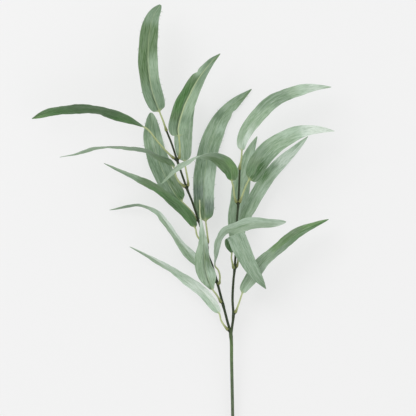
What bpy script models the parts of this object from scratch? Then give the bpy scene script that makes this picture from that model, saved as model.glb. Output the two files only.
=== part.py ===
"""A leafy willow branch that lies on a flat surface.

One woody stem forks into a left and a right twig, which carry nineteen long, narrow leaves.
X runs to the right and Y up along the branch, as it is seen from above. Z is height.
Route points are in millimetres from the fork, where the two twigs part.
"""

import math
from dataclasses import dataclass

import bpy
from mathutils import Vector

MM = 0.001

# The fork's place, which puts the middle of the whole branch's box at x = 0 and y = 0
FORK_X = 60.0
FORK_Y = -114.05

# Woody parts
STEM_RADIUS = 1.7
TWIG_RADIUS = 1.4
TWIG_END_RADIUS = 1.1
FORK_BLEND = 8.0
STUB_ROOT_RADIUS = 1.15
STUB_TIP_RADIUS = 0.9
STEM_SIDES = 8
STUB_SIDES = 8
STEM_STEP = 11.0
NODE_SWELLING = 0.35
NODE_SWELLING_REACH = 4.0
SHARP_ANGLE = 40.0
SLOPE_REACH = 0.2

# Leaves
SEAT_GAP = 0.3
PETIOLE_ROOT_RADIUS = 1.0
PETIOLE_TIP_RADIUS = 0.8
PETIOLE_RINGS = 6
BLADE_RINGS = 18
HALF_ACROSS = (1.0, 0.55)
RIB_HALF_WIDTH = 0.9
RIB_HEIGHT = 0.35
RIB_DEPTH = 0.45
RIB_MOST_SHARE = 0.4
RIB_NARROWING = 0.5
RIB_FADING = 0.6
BLADE_THICKNESS = 0.7
ROUND_TO_FLAT = 0.03
TIP_HALF_WIDTH = 0.5
WAVE_COUNT = 2.6
WAVE_SHARE = 0.10
WAVE_STEP = 1.7
WAVE_LAG = 1.3

# A leaf that bends over is a sheet rolled round this line
BEND_AXIS = (0.93, 0.37, 0)

# Outlines: share of the midrib's length, then share of the full width
LANCE = ((0.0, 0.1), (0.01, 0.26), (0.03, 0.46), (0.07, 0.68), (0.14, 0.87), (0.25, 0.98),
         (0.35, 1.0), (0.55, 0.95), (0.75, 0.72), (0.9, 0.38), (0.97, 0.16), (1.0, 0.04))
BLUNT = ((0.0, 0.12), (0.01, 0.42), (0.025, 0.62), (0.05, 0.8), (0.09, 0.92), (0.16, 0.98),
         (0.3, 1.0), (0.6, 0.98), (0.8, 0.82), (0.92, 0.54), (0.98, 0.26), (1.0, 0.1))
BLUNT_BASE = ((0.0, 0.12), (0.01, 0.42), (0.025, 0.62), (0.05, 0.8), (0.09, 0.92), (0.16, 0.98),
              (0.32, 1.0), (0.55, 0.93), (0.75, 0.7), (0.9, 0.37), (0.97, 0.15), (1.0, 0.04))
TAPERED = ((0.0, 0.1), (0.01, 0.36), (0.025, 0.56), (0.05, 0.76), (0.09, 0.91), (0.15, 0.98),
           (0.28, 1.0), (0.5, 0.85), (0.72, 0.56), (0.9, 0.26), (1.0, 0.04))
SLIM_BASE = ((0.0, 0.08), (0.03, 0.22), (0.08, 0.42), (0.16, 0.72), (0.26, 0.93), (0.38, 1.0),
             (0.58, 0.95), (0.78, 0.72), (0.92, 0.36), (1.0, 0.04))
FOLDED = ((0.0, 0.08), (0.03, 0.22), (0.08, 0.44), (0.16, 0.76), (0.24, 0.95), (0.31, 1.0),
          (0.5, 0.93), (0.7, 0.76), (0.88, 0.45), (1.0, 0.04))
DRAWN_OUT = ((0.0, 0.1), (0.01, 0.18), (0.04, 0.3), (0.08, 0.5), (0.13, 0.76), (0.18, 0.9),
             (0.28, 1.0), (0.45, 0.92), (0.62, 0.66), (0.75, 0.36), (0.84, 0.14), (0.9, 0.07),
             (1.0, 0.05))

# Colours and finish, in linear values
WOOD_COLOUR = (0.075, 0.10, 0.055)
DEEP_COLOUR = (0.085, 0.15, 0.065)
SAGE_COLOUR = (0.22, 0.30, 0.20)
PALE_COLOUR = (0.38, 0.47, 0.35)
WOOD_ROUGHNESS = 0.6
LEAF_ROUGHNESS = 0.7

MAIN_STEM = ((2.6, -186, 1.52), (2.5, -130, 6), (2.3, -100, 9), (0.8, -32, 16), (0, 0, 19))
LEFT_TWIG = ((-5, 20, 20), (-8, 32, 21), (-9.9, 39, 22.3), (-17, 66, 26), (-21, 79.5, 28),
             (-24, 89.5, 29), (-28.5, 101, 30), (-30, 112.5, 31), (-40, 142.5, 34),
             (-48.5, 168, 36.5), (-55, 184, 38), (-67, 218.5, 41), (-73.5, 238.5, 43),
             (-81, 257.5, 45))
RIGHT_TWIG = ((0, -3, 18.7), (1, 7.5, 19.5), (3, 25, 21), (2, 45, 23), (3, 67.5, 25.5),
              (4.5, 82.5, 27), (7, 121, 31), (7.5, 145, 33.5), (9, 164, 35), (10, 182.5, 37),
              (11, 209.5, 39))

FORK_NODE = (0, 3, 19.2)
LEFT_E = (-9.9, 39, 22.3)
LEFT_D = (-17, 66, 26)
LEFT_C = (-30, 112.5, 31)
LEFT_H = (-40, 142.5, 34)
LEFT_B = (-55, 184, 38)
LEFT_A = (-67, 218.5, 41)
RIGHT_4 = (3, 25, 21)
RIGHT_3 = (4.5, 82.5, 27)
RIGHT_2 = (7, 121, 31)
RIGHT_1 = (9, 164, 35)


@dataclass(frozen=True)
class Leaf:
    """One leaf: where it is seated, its petiole and midrib routes, and how its blade is turned."""

    name: str
    node: tuple
    seat: tuple
    petiole: tuple
    blade: tuple
    width: float
    rolls: tuple
    fold: float = 8.0
    wave: float = 1.0
    tone: str = "leaf_sage"
    outline: tuple = LANCE
    bends_over: bool = False


LEAVES = (
    Leaf("leaf_left_01", FORK_NODE, (-5, 8.5, 21.5), ((-8.5, 12.8, 22.8), (-12.5, 19.5, 24.8)),
         ((-14.3, 27.1, 27), (-20.7, 38, 29), (-31.2, 51, 31), (-43.2, 62, 32), (-57.3, 73, 32),
          (-71.3, 82, 31), (-87.5, 91, 29), (-103.5, 100.5, 26), (-127, 111.5, 21)),
         20, (30, 48, 58, 70, 62), tone="leaf_pale"),
    Leaf("leaf_left_02", LEFT_E, (-13.2, 43, 25.2), ((-15.9, 48, 28.7), (-18.9, 52.7, 33.6)),
         ((-22.5, 57.3, 39.8), (-26.5, 66, 46), (-30, 78, 53), (-32.5, 91, 62), (-33, 106, 72),
          (-33, 123, 82), (-35, 137, 89), (-38.3, 152, 94), (-38.8, 170, 96.5)),
         25, (10, 20, 50, 64, 50), fold=14, outline=DRAWN_OUT),
    Leaf("leaf_left_03", LEFT_D, (-20.2, 68.2, 24.6), ((-25.5, 73.5, 22.2),),
         ((-35, 85, 20), (-54, 105.8, 20), (-74.3, 132.4, 20), (-83.5, 145.2, 19.5),
          (-91.5, 155.6, 18), (-104, 161.6, 15), (-116, 164.2, 12), (-132.5, 161.9, 8.5),
          (-152.5, 157.5, 5)),
         18.5, (16, 56, 68, 73, 68), tone="leaf_pale"),
    Leaf("leaf_left_04", LEFT_D, (-14.5, 65.5, 29),
         ((-14, 70, 34), (-14, 76, 40), (-16, 82.5, 46)),
         ((-20, 88, 52), (-20, 100, 61), (-18.4, 111.8, 70), (-14.6, 122.6, 78), (-7, 132.6, 84),
          (6, 136.5, 88), (17.5, 140.5, 90), (30, 142, 89), (46, 142, 86), (68, 142.5, 78)),
         21, (-76, -74, -49, -44, -46), outline=BLUNT),
    Leaf("leaf_left_05", LEFT_C, (-29, 117.5, 30), ((-29.5, 126, 29),),
         ((-31.5, 142.5, 25), (-32.9, 155, 23), (-33.9, 172.5, 20), (-33.9, 191, 16),
          (-31.7, 210, 12.5), (-28.2, 232.5, 9), (-21.5, 252.5, 6.5), (-12.5, 271.8, 4.5),
          (2.6, 289.8, 3.2), (26, 309.5, 2.8)),
         27, (8, 8, 0, -6, 0), fold=6, outline=BLUNT_BASE),
    Leaf("leaf_left_06", LEFT_C, (-34, 115.5, 32.5), ((-39, 120.5, 35), (-42.5, 126, 38)),
         ((-44.5, 134.5, 41), (-50, 146, 44), (-62.5, 161.3, 47), (-79.2, 175.3, 48),
          (-97, 187.3, 46), (-120, 199, 41), (-138.5, 206.5, 36), (-159, 216, 30)),
         19.4, (45, 52, 54, 54, 60), tone="leaf_deep", outline=TAPERED),
    Leaf("leaf_left_07", LEFT_H, (-43, 145.5, 31.5), ((-48, 154, 27),),
         ((-61, 167.5, 22), (-67.5, 174, 20), (-76.5, 188, 16), (-86, 207, 11.5), (-94, 229, 6.5),
          (-98.5, 249, 2.2), (-99.5, 264, 0.1), (-100.5, 280, 0.1)),
         26, (4, 4, 0, 0, 0), fold=3, wave=0.5, outline=BLUNT),
    Leaf("leaf_left_08", LEFT_B, (-59, 187.5, 41), ((-65, 193, 45), (-69, 200.5, 51)),
         ((-71, 210, 58), (-77.5, 219.5, 62), (-91, 225, 66), (-105, 231.5, 68), (-130, 236, 67),
          (-144, 236.5, 65), (-160.5, 236, 60), (-173, 234, 55), (-197, 227, 47),
          (-214, 223.5, 40)),
         23, (62, 76, 84, 74, 78), tone="leaf_deep", outline=TAPERED),
    Leaf("leaf_left_09", LEFT_B, (-53.5, 189, 38.5), ((-54.5, 198, 38), (-56, 206, 36)),
         ((-58, 218, 33), (-59.6, 232.5, 30), (-60.5, 249, 27), (-58.5, 267.5, 24),
          (-53, 287.5, 22), (-45.5, 305, 21)),
         23.5, (-12, -18, -14, -10, 0), tone="leaf_pale"),
    Leaf("leaf_left_10", LEFT_A, (-72.5, 223, 43.5),
         ((-83, 233, 49), (-92.5, 244, 53), (-101, 255, 56)),
         ((-107.6, 260.4, 58), (-139.4, 275.6, 61), (-159.2, 281.7, 60), (-174, 284, 57),
          (-189, 285.2, 53), (-209, 283.5, 47), (-229, 279.3, 40), (-249, 271.9, 32)),
         24, (60, 58, 66, 54, 34), wave=0.8, tone="leaf_deep", outline=SLIM_BASE),
    Leaf("leaf_left_11", LEFT_A, (-64.5, 223.5, 44), ((-64, 229.5, 48), (-64, 239, 52)),
         ((-65, 248.5, 56), (-66, 260, 59), (-58.7, 286, 64), (-52.7, 299, 65),
          (-46.5, 311.5, 65), (-40.3, 321.8, 63), (-33.2, 331.5, 60), (-24.2, 342.5, 56),
          (-13.5, 352.5, 50)),
         25.5, (4, 0, 0, 10, 20), fold=18, tone="leaf_deep", outline=TAPERED),
    Leaf("leaf_left_12", (-81, 257.5, 45), (-81, 257.5, 45), ((-84.5, 268, 47.5),),
         ((-89, 279.5, 50), (-98, 304, 54), (-102.5, 329, 57), (-103.5, 352.5, 58),
          (-102, 377, 57), (-97.5, 398, 54), (-88, 413.5, 50)),
         24.3, (-6, -4, 4, 6, 0), fold=10, outline=BLUNT),
    Leaf("leaf_right_01", RIGHT_4, (6, 30, 22.5), ((8.3, 36, 25), (10.9, 43.3, 28)),
         ((13.8, 52.3, 31), (17.5, 60.9, 33), (25.5, 72.1, 36), (37, 87.5, 39), (53, 103, 41),
          (70.3, 118.4, 41), (87.1, 130, 39), (105.4, 139.1, 36), (122.2, 145.8, 32)),
         22, (28, 42, 50, 44, 46)),
    Leaf("leaf_right_02", RIGHT_3, (3, 86, 29.5), ((1.8, 91, 33), (0.5, 97.5, 37)),
         ((1, 103.5, 42), (0.9, 112.2, 52), (2, 121.6, 61), (3.6, 126.9, 66), (6.4, 124.6, 68.5),
          (10.5, 115.1, 67), (15.4, 104.2, 63.5), (24.6, 86.5, 58.8), (34, 72, 54.5),
          (43.5, 59, 49)),
         23.5, (0, 0, 0, -6, 0), fold=5, wave=0.5, tone="leaf_pale", outline=FOLDED,
         bends_over=True),
    Leaf("leaf_right_03", RIGHT_3, (7.5, 87.5, 25.3), ((9, 97, 23.5),),
         ((7.5, 116, 22), (7, 132.5, 19), (8, 151, 16), (10.5, 170, 13), (13, 191, 10),
          (19, 214, 7.5), (25.5, 234, 5.5), (33, 250, 4)),
         23.5, (-10, -12, -10, -6, 0), outline=BLUNT_BASE),
    Leaf("leaf_right_04", RIGHT_2, (9.5, 125.5, 30.8), ((11, 128.5, 30.7),),
         ((12.5, 132.5, 30.5), (19.4, 153.8, 26), (23.1, 159.7, 24), (32.4, 177.3, 19),
          (42.8, 194, 13.5), (55.2, 209.1, 8.5), (69, 223, 3.6), (83, 236, 0.5), (97, 250, 0.1)),
         19, (-36, -26, -26, -12, 0), fold=3, wave=0.5),
    Leaf("leaf_right_05", RIGHT_1, (11.5, 168.5, 37.5),
         ((13.3, 173.5, 40.5), (16, 181, 44.5), (18.7, 188, 48)),
         ((22, 194.5, 51), (28.2, 202.5, 54), (34, 214.4, 58), (43.6, 227.3, 61.5),
          (56.1, 239, 63.5), (69.8, 247.5, 63.5), (82.5, 253.4, 62), (97, 256.8, 59),
          (112, 257.6, 54), (129, 256, 47)),
         25, (12, 14, 10, 6, 0), fold=14, tone="leaf_pale", outline=TAPERED),
    Leaf("leaf_right_06", RIGHT_1, (6.2, 168.5, 38), ((4, 176, 43), (3, 186, 50)),
         ((1, 193, 57), (0.5, 203.9, 63), (-2.6, 211, 68), (-9.1, 218.4, 72), (-19.1, 223.5, 75),
          (-30, 225, 76.5), (-42.5, 223.9, 77), (-57.5, 216.5, 76), (-72.5, 205, 73),
          (-87, 190, 67)),
         23, (12, 36, 84, 112, 118), tone="leaf_deep"),
    Leaf("leaf_right_07", (11, 209.5, 39), (11, 209.5, 39), ((13, 222.5, 46),),
         ((13.5, 230.5, 49), (13.7, 240, 52), (18.2, 252.2, 55), (26.2, 265.5, 59),
          (38.5, 279.5, 62), (54, 292.5, 63), (73, 302.3, 61), (92.5, 308, 57), (110, 310.3, 52),
          (125, 311, 47)),
         22, (36, 34, 36, 36, 40)),
)


def clear_scene():
    """Remove every object that the file starts with."""
    for thing in list(bpy.data.objects):
        bpy.data.objects.remove(thing, do_unlink=True)


def material(name, colour, roughness):
    """Return a plain Principled material."""
    made = bpy.data.materials.new(name)
    made.use_nodes = True
    shader = made.node_tree.nodes["Principled BSDF"]
    shader.inputs["Base Color"].default_value = (*colour, 1.0)
    shader.inputs["Roughness"].default_value = roughness
    shader.inputs["Metallic"].default_value = 0.0
    return made


def wood_material():
    """Dark olive bark."""
    return material("stem", WOOD_COLOUR, WOOD_ROUGHNESS)


def leaf_materials():
    """The three greens of the leaves, by name."""
    tones = (("leaf_deep", DEEP_COLOUR), ("leaf_sage", SAGE_COLOUR), ("leaf_pale", PALE_COLOUR))
    return {name: material(name, colour, LEAF_ROUGHNESS) for name, colour in tones}


def hermite(a, b, slope_a, slope_b, share, span):
    """Value between a and b, a share of the way along a span, with the slopes at its ends."""
    cube = share ** 3
    square = share ** 2
    return (a * (2 * cube - 3 * square + 1) + slope_a * (span * (cube - 2 * square + share))
            + b * (3 * square - 2 * cube) + slope_b * (span * (cube - square)))


class Smooth:
    """A smooth curve through values at given stations. The values are numbers or vectors."""

    def __init__(self, stations, values, first_slope=None):
        self.stations = stations
        self.values = values
        last = len(values) - 1
        self.slopes = []
        for i in range(len(values)):
            low = max(i - 1, 0)
            high = min(i + 1, last)
            self.slopes.append((values[high] - values[low]) / (stations[high] - stations[low]))
        if first_slope is not None:
            self.slopes[0] = first_slope

    def at(self, station):
        """Value at one station."""
        i = 0
        while i < len(self.stations) - 2 and station > self.stations[i + 1]:
            i += 1
        span = self.stations[i + 1] - self.stations[i]
        share = (station - self.stations[i]) / span
        return hermite(self.values[i], self.values[i + 1], self.slopes[i], self.slopes[i + 1],
                       share, span)


def route_curve(points, first_direction=None):
    """Smooth curve through route points, with the distance along them as its stations."""
    places = [Vector(point) for point in points]
    stations = [0.0]
    for before, after in zip(places, places[1:]):
        stations.append(stations[-1] + (after - before).length)
    return Smooth(stations, places, first_direction)


def direction(curve, station):
    """Unit direction of a curve at one station."""
    low = max(station - SLOPE_REACH, 0.0)
    high = min(station + SLOPE_REACH, curve.stations[-1])
    return (curve.at(high) - curve.at(low)).normalized()


def square_to(vector, along):
    """The part of a vector that is square to a direction, as a unit vector."""
    return (vector - along * vector.dot(along)).normalized()


def placed(point):
    """A point given from the fork, in metres in the part's frame and never below the surface."""
    return ((point.x + FORK_X) * MM, (point.y + FORK_Y) * MM, max(point.z, 0.0) * MM)


def add_object(name, vertices, faces, finish):
    """Make one mesh object from vertices in millimetres."""
    mesh = bpy.data.meshes.new(name)
    mesh.from_pydata([placed(vertex) for vertex in vertices], [], faces)
    mesh.materials.append(finish)
    made = bpy.data.objects.new(name, mesh)
    bpy.context.scene.collection.objects.link(made)
    mesh.shade_smooth()
    mesh.set_sharp_from_angle(angle=math.radians(SHARP_ANGLE))
    return made


def tube(name, points, radius_at, sides, step, finish):
    """A round tube with flat ends along a smooth route, a ring about every step."""
    curve = route_curve(points)
    length = curve.stations[-1]
    count = max(int(length / step), 1)
    vertices = []
    for i in range(count + 1):
        station = length * i / count
        along = direction(curve, station)
        up = square_to(Vector((0, 0, 1)), along)
        side = along.cross(up)
        radius = radius_at(station)
        for k in range(sides):
            angle = 2 * math.pi * (k + 0.5) / sides
            offset = side * math.cos(angle) + up * math.sin(angle)
            vertices.append(curve.at(station) + offset * radius)
    faces = [tuple(range(sides - 1, -1, -1))]
    for i in range(count):
        for k in range(sides):
            low = i * sides
            nxt = (k + 1) % sides
            faces.append((low + k, low + nxt, low + sides + nxt, low + sides + k))
    faces.append(tuple(range(count * sides, (count + 1) * sides)))
    flip = [tuple(reversed(face)) for face in faces]
    return add_object(name, vertices, flip, finish)


def tapered(profile, nodes):
    """Radius along a twig: even tapers between the profile's pairs, swollen where leaves grow."""
    def radius(station):
        swelling = 0.0
        for node in nodes:
            share = (station - node) / NODE_SWELLING_REACH
            swelling += NODE_SWELLING * math.exp(-share * share)
        for (low, before), (high, after) in zip(profile, profile[1:]):
            if station <= high:
                return before + (after - before) * (station - low) / (high - low) + swelling
        return profile[-1][1] + swelling
    return radius


def stations_near(points, nodes):
    """Distances along a route at which its leaf nodes lie."""
    curve = route_curve(points)
    return [curve.stations[points.index(node)] for node in nodes]


def build_stem(finish):
    """The woody piece: stem and left twig in one tube, joined to the right twig and the stubs."""
    left_points = MAIN_STEM + LEFT_TWIG
    left_nodes = stations_near(left_points, (MAIN_STEM[-1], LEFT_E, LEFT_D, LEFT_C, LEFT_B, LEFT_A))
    left_length = route_curve(left_points).stations[-1]
    left_profile = ((0.0, STEM_RADIUS), (left_nodes[0], STEM_RADIUS),
                    (left_nodes[0] + FORK_BLEND, TWIG_RADIUS), (left_length, TWIG_END_RADIUS))
    stem = tube("stem", left_points, tapered(left_profile, left_nodes), STEM_SIDES, STEM_STEP,
                finish)
    right_nodes = stations_near(RIGHT_TWIG, (RIGHT_4, RIGHT_3, RIGHT_1))
    right_length = route_curve(RIGHT_TWIG).stations[-1]
    right_profile = ((0.0, TWIG_RADIUS), (right_length, TWIG_END_RADIUS))
    grown = [tube("right_twig", RIGHT_TWIG, tapered(right_profile, right_nodes), STEM_SIDES,
                  STEM_STEP, finish)]
    for leaf in LEAVES:
        if leaf.seat != leaf.node:
            grown.append(stub(leaf, finish))
    joined = bpy.data.collections.new("grown_from_stem")
    for piece in grown:
        joined.objects.link(piece)
        bpy.context.scene.collection.objects.unlink(piece)
        piece.hide_render = True
        piece.display_type = "WIRE"
    bpy.context.scene.collection.children.link(joined)
    union = stem.modifiers.new("grown_together", "BOOLEAN")
    union.operation = "UNION"
    union.operand_type = "COLLECTION"
    union.collection = joined
    union.solver = "EXACT"
    return stem


def stub(leaf, finish):
    """The short woody stub that one leaf's petiole is seated on."""
    length = (Vector(leaf.seat) - Vector(leaf.node)).length

    def radius(station):
        return STUB_ROOT_RADIUS + (STUB_TIP_RADIUS - STUB_ROOT_RADIUS) * station / length
    return tube("stub_" + leaf.name, (leaf.node, leaf.seat), radius, STUB_SIDES, length, finish)


def seat_direction(leaf):
    """The way in which a leaf's petiole leaves the wood."""
    if leaf.seat == leaf.node:
        twig = LEFT_TWIG if leaf.seat == LEFT_TWIG[-1] else RIGHT_TWIG
        return (Vector(twig[-1]) - Vector(twig[-2])).normalized()
    return (Vector(leaf.seat) - Vector(leaf.node)).normalized()


def ease(share):
    """Smooth rise from 0 to 1."""
    share = min(max(share, 0.0), 1.0)
    return share * share * (3 - 2 * share)


def round_section(radius):
    """Upper and lower rows of points of a round section, from the left to the right."""
    across = 2 * len(HALF_ACROSS) + 3
    rows = []
    for sign in (1, -1):
        angles = [math.pi * (1 - (k + 0.5) / across) for k in range(across)]
        rows.append([(radius * math.cos(a), sign * radius * math.sin(a)) for a in angles])
    return rows


def blade_section(leaf, half_width, t):
    """Upper and lower rows of points of the blade, folded along the rib and waved at the edge."""
    rib = min(RIB_HALF_WIDTH * (1 - RIB_NARROWING * t), RIB_MOST_SHARE * half_width)
    left = [-half_width * share for share in HALF_ACROSS] + [-rib]
    places = left + [0.0] + [-x for x in reversed(left)]
    phase = WAVE_STEP * LEAVES.index(leaf)
    fold = math.tan(math.radians(leaf.fold))
    rows = ([], [])
    for x in places:
        reach = abs(x) / max(half_width, 0.001)
        turn = 2 * math.pi * WAVE_COUNT * t + phase + (WAVE_LAG if x < 0 else 0.0)
        wave = leaf.wave * WAVE_SHARE * half_width * reach * reach * math.sin(turn)
        height = abs(x) * fold + wave
        fade = 1 - RIB_FADING * t
        raised = RIB_HEIGHT * fade if x == 0.0 else 0.0
        sunk = RIB_DEPTH * fade if x == 0.0 else 0.0
        rows[0].append((x, height + BLADE_THICKNESS / 2 + raised))
        rows[1].append((x, height - BLADE_THICKNESS / 2 - sunk))
    return rows


def leaf_stations(petiole_length, length):
    """Distances along a leaf at which it has a ring: even on the petiole, closer at blade ends."""
    stations = [petiole_length * i / PETIOLE_RINGS for i in range(PETIOLE_RINGS)]
    blade_length = length - petiole_length
    for i in range(BLADE_RINGS + 1):
        even = i / BLADE_RINGS
        eased = (1 - math.cos(math.pi * even)) / 2
        stations.append(petiole_length + blade_length * (even + eased) / 2)
    return stations


def leaf_frames(leaf, curve, stations):
    """Centre, side and normal of the leaf at each station, before it is rolled."""
    frames = []
    for station in stations:
        along = direction(curve, station)
        if leaf.bends_over:
            side = Vector(BEND_AXIS).normalized()
            normal = side.cross(along).normalized()
        else:
            normal = square_to(Vector((0, 0, 1)), along)
            side = along.cross(normal)
        frames.append((curve.at(station), side, normal))
    return frames


def leaf_rings(leaf):
    """Upper and lower rows of points at each station of one leaf."""
    away = seat_direction(leaf)
    start = Vector(leaf.seat) + away * SEAT_GAP
    points = (start,) + leaf.petiole + leaf.blade
    curve = route_curve(points, away)
    petiole_length = curve.stations[len(leaf.petiole) + 1]
    length = curve.stations[-1]
    stations = leaf_stations(petiole_length, length)
    outline = Smooth([p[0] for p in leaf.outline], [p[1] for p in leaf.outline])
    rolls = Smooth([i / (len(leaf.rolls) - 1) for i in range(len(leaf.rolls))], list(leaf.rolls))
    rings = []
    for station, frame in zip(stations, leaf_frames(leaf, curve, stations)):
        centre, side, normal = frame
        t = max((station - petiole_length) / (length - petiole_length), 0.0)
        along_petiole = min(station / petiole_length, 1.0)
        radius = PETIOLE_ROOT_RADIUS + (PETIOLE_TIP_RADIUS - PETIOLE_ROOT_RADIUS) * along_petiole
        half_width = max(outline.at(t) * leaf.width / 2, TIP_HALF_WIDTH)
        flat = ease(t / ROUND_TO_FLAT)
        roll = math.radians(rolls.at(t))
        across = side * math.cos(roll) + normal * math.sin(roll)
        upward = normal * math.cos(roll) - side * math.sin(roll)
        rows = []
        for disc, blade in zip(round_section(radius), blade_section(leaf, half_width, t)):
            row = []
            for p, q in zip(disc, blade):
                x = p[0] + (q[0] - p[0]) * flat
                y = p[1] + (q[1] - p[1]) * flat
                row.append(centre + across * x + upward * y)
            rows.append(row)
        rings.append(keep_thickness(rows))
    return rings


def keep_thickness(rows):
    """Lift what lies in the surface, so that the blade stays as thick where it touches down."""
    upper, lower = rows
    if all(point.z > BLADE_THICKNESS for point in upper + lower):
        return rows
    for above, below in zip(upper, lower):
        low, high = (below, above) if below.z < above.z else (above, below)
        low.z = max(low.z, 0.0)
        high.z = max(high.z, low.z + BLADE_THICKNESS)
    return rows


def leaf_faces(rings, across):
    """Triangles of the upper and lower faces, split alike, with the edges and both ends."""
    ring = 2 * across
    middle = across // 2
    loop = list(range(across)) + list(range(ring - 1, across - 1, -1))
    faces = [tuple(reversed(loop))]
    for i in range(rings - 1):
        low = i * ring
        high = low + ring
        for k in range(across - 1):
            a, b, c, d = low + k, low + k + 1, high + k + 1, high + k
            pair = ((a, b, c), (a, c, d)) if k < middle else ((a, b, d), (b, c, d))
            for face in pair:
                faces.append(face)
                faces.append(tuple(reversed([corner + across for corner in face])))
        for k, turned in ((0, False), (across - 1, True)):
            a, b, c, d = low + k, low + across + k, high + across + k, high + k
            for face in ((a, d, b), (b, d, c)):
                faces.append(tuple(reversed(face)) if turned else face)
    last = (rings - 1) * ring
    faces.append(tuple(last + corner for corner in loop))
    return faces


def build_leaf(leaf, finishes):
    """One leaf: petiole, blade and midrib in one closed skin."""
    rings = leaf_rings(leaf)
    across = len(rings[0][0])
    vertices = [point for upper, lower in rings for point in upper + lower]
    return add_object(leaf.name, vertices, leaf_faces(len(rings), across), finishes[leaf.tone])


def main():
    """Build the whole branch."""
    clear_scene()
    build_stem(wood_material())
    finishes = leaf_materials()
    for leaf in LEAVES:
        build_leaf(leaf, finishes)


if __name__ == "__main__":
    main()
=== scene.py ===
"""The looks of a leafy willow branch that lies on a plain pale floor, seen from straight above.

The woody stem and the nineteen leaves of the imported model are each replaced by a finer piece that
follows the same routes. Routes are in millimetres from the fork, where the two twigs part, and
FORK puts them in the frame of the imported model.
"""

import logging
import math
import random
from collections.abc import Sequence
from dataclasses import dataclass, field
from enum import Enum
from typing import Any

import bpy
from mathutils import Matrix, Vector


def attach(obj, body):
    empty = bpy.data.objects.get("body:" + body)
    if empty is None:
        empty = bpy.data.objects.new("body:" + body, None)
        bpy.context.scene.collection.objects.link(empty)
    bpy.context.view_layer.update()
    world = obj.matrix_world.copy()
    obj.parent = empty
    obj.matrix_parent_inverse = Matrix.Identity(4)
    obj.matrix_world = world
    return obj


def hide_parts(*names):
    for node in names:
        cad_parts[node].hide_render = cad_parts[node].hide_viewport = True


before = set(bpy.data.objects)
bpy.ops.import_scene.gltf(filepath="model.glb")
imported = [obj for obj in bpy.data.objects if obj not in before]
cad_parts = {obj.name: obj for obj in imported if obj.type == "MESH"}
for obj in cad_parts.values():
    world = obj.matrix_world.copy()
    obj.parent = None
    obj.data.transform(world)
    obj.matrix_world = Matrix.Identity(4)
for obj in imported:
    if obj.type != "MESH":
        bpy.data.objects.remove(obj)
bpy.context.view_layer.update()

LOG = logging.getLogger("willow_branch")

MM = 0.001
FORK = Vector((60.0, -114.05, 0.0))
UP = Vector((0, 0, 1))

Point = tuple[float, float, float]
Colour = tuple[float, float, float]
# Rising stations along a tube, each with its radius or its hex colour
Stops = Sequence[tuple[float, Any]]


def linear(code: str) -> Colour:
    """Turn an sRGB hex colour to linear values.

    Args:
        code: Colour as "#rrggbb".

    Returns:
        Red, green and blue, linear, from 0 to 1.
    """
    parts = [int(code[i:i + 2], 16) / 255 for i in (1, 3, 5)]
    return tuple(p / 12.92 if p <= 0.04045 else ((p + 0.055) / 1.055) ** 2.4 for p in parts)


def blend(a: Colour, b: Colour, share: float) -> Colour:
    """Mix two colours.

    Args:
        a: First linear colour.
        b: Second linear colour.
        share: Share of the second, from 0 to 1.

    Returns:
        A linear colour.
    """
    share = min(max(share, 0.0), 1.0)
    return tuple(p + (q - p) * share for p, q in zip(a, b))


def ease(share: float) -> float:
    """Rise smoothly from 0 to 1."""
    share = min(max(share, 0.0), 1.0)
    return share * share * (3 - 2 * share)


def add_node(tree: bpy.types.NodeTree, kind: str, settings: dict[str, Any] | None = None,
             inputs: dict[Any, Any] | None = None) -> bpy.types.Node:
    """Add one shader node with its settings, values and links.

    Args:
        tree: Node tree that gets the node.
        kind: Node type, such as "ShaderNodeMath".
        settings: Properties of the node by name.
        inputs: Values or output sockets by input name or number.

    Returns:
        The new node.
    """
    node = tree.nodes.new(kind)
    for name, value in (settings or {}).items():
        setattr(node, name, value)
    for socket, value in (inputs or {}).items():
        if isinstance(value, bpy.types.NodeSocket):
            tree.links.new(value, node.inputs[socket])
        else:
            node.inputs[socket].default_value = value
    return node


class Outline(Enum):
    """Outlines of a blade: share of the midrib's length, then share of the full width."""

    LANCE = ((0.0, 0.1), (0.01, 0.26), (0.03, 0.46), (0.07, 0.68), (0.14, 0.87), (0.25, 0.98),
             (0.35, 1.0), (0.55, 0.95), (0.75, 0.72), (0.9, 0.38), (0.97, 0.16), (1.0, 0.04))
    BLUNT = ((0.0, 0.12), (0.01, 0.42), (0.025, 0.62), (0.05, 0.8), (0.09, 0.92), (0.16, 0.98),
             (0.3, 1.0), (0.6, 0.98), (0.8, 0.82), (0.92, 0.54), (0.98, 0.26), (1.0, 0.1))
    BLUNT_BASE = ((0.0, 0.12), (0.01, 0.42), (0.025, 0.62), (0.05, 0.8), (0.09, 0.92),
                  (0.16, 0.98), (0.32, 1.0), (0.55, 0.93), (0.75, 0.7), (0.9, 0.37), (0.97, 0.15),
                  (1.0, 0.04))
    TAPERED = ((0.0, 0.1), (0.01, 0.36), (0.025, 0.56), (0.05, 0.76), (0.09, 0.91), (0.15, 0.98),
               (0.28, 1.0), (0.5, 0.85), (0.72, 0.56), (0.9, 0.26), (1.0, 0.04))
    SLIM_BASE = ((0.0, 0.08), (0.03, 0.22), (0.08, 0.42), (0.16, 0.72), (0.26, 0.93), (0.38, 1.0),
                 (0.58, 0.95), (0.78, 0.72), (0.92, 0.36), (1.0, 0.04))
    FOLDED = ((0.0, 0.08), (0.03, 0.22), (0.08, 0.44), (0.16, 0.76), (0.24, 0.95), (0.31, 1.0),
              (0.5, 0.93), (0.7, 0.76), (0.88, 0.45), (1.0, 0.04))
    DRAWN_OUT = ((0.0, 0.1), (0.01, 0.18), (0.04, 0.3), (0.08, 0.5), (0.13, 0.76), (0.18, 0.9),
                 (0.28, 1.0), (0.45, 0.92), (0.62, 0.66), (0.75, 0.36), (0.84, 0.14), (0.9, 0.07),
                 (1.0, 0.05))


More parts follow.
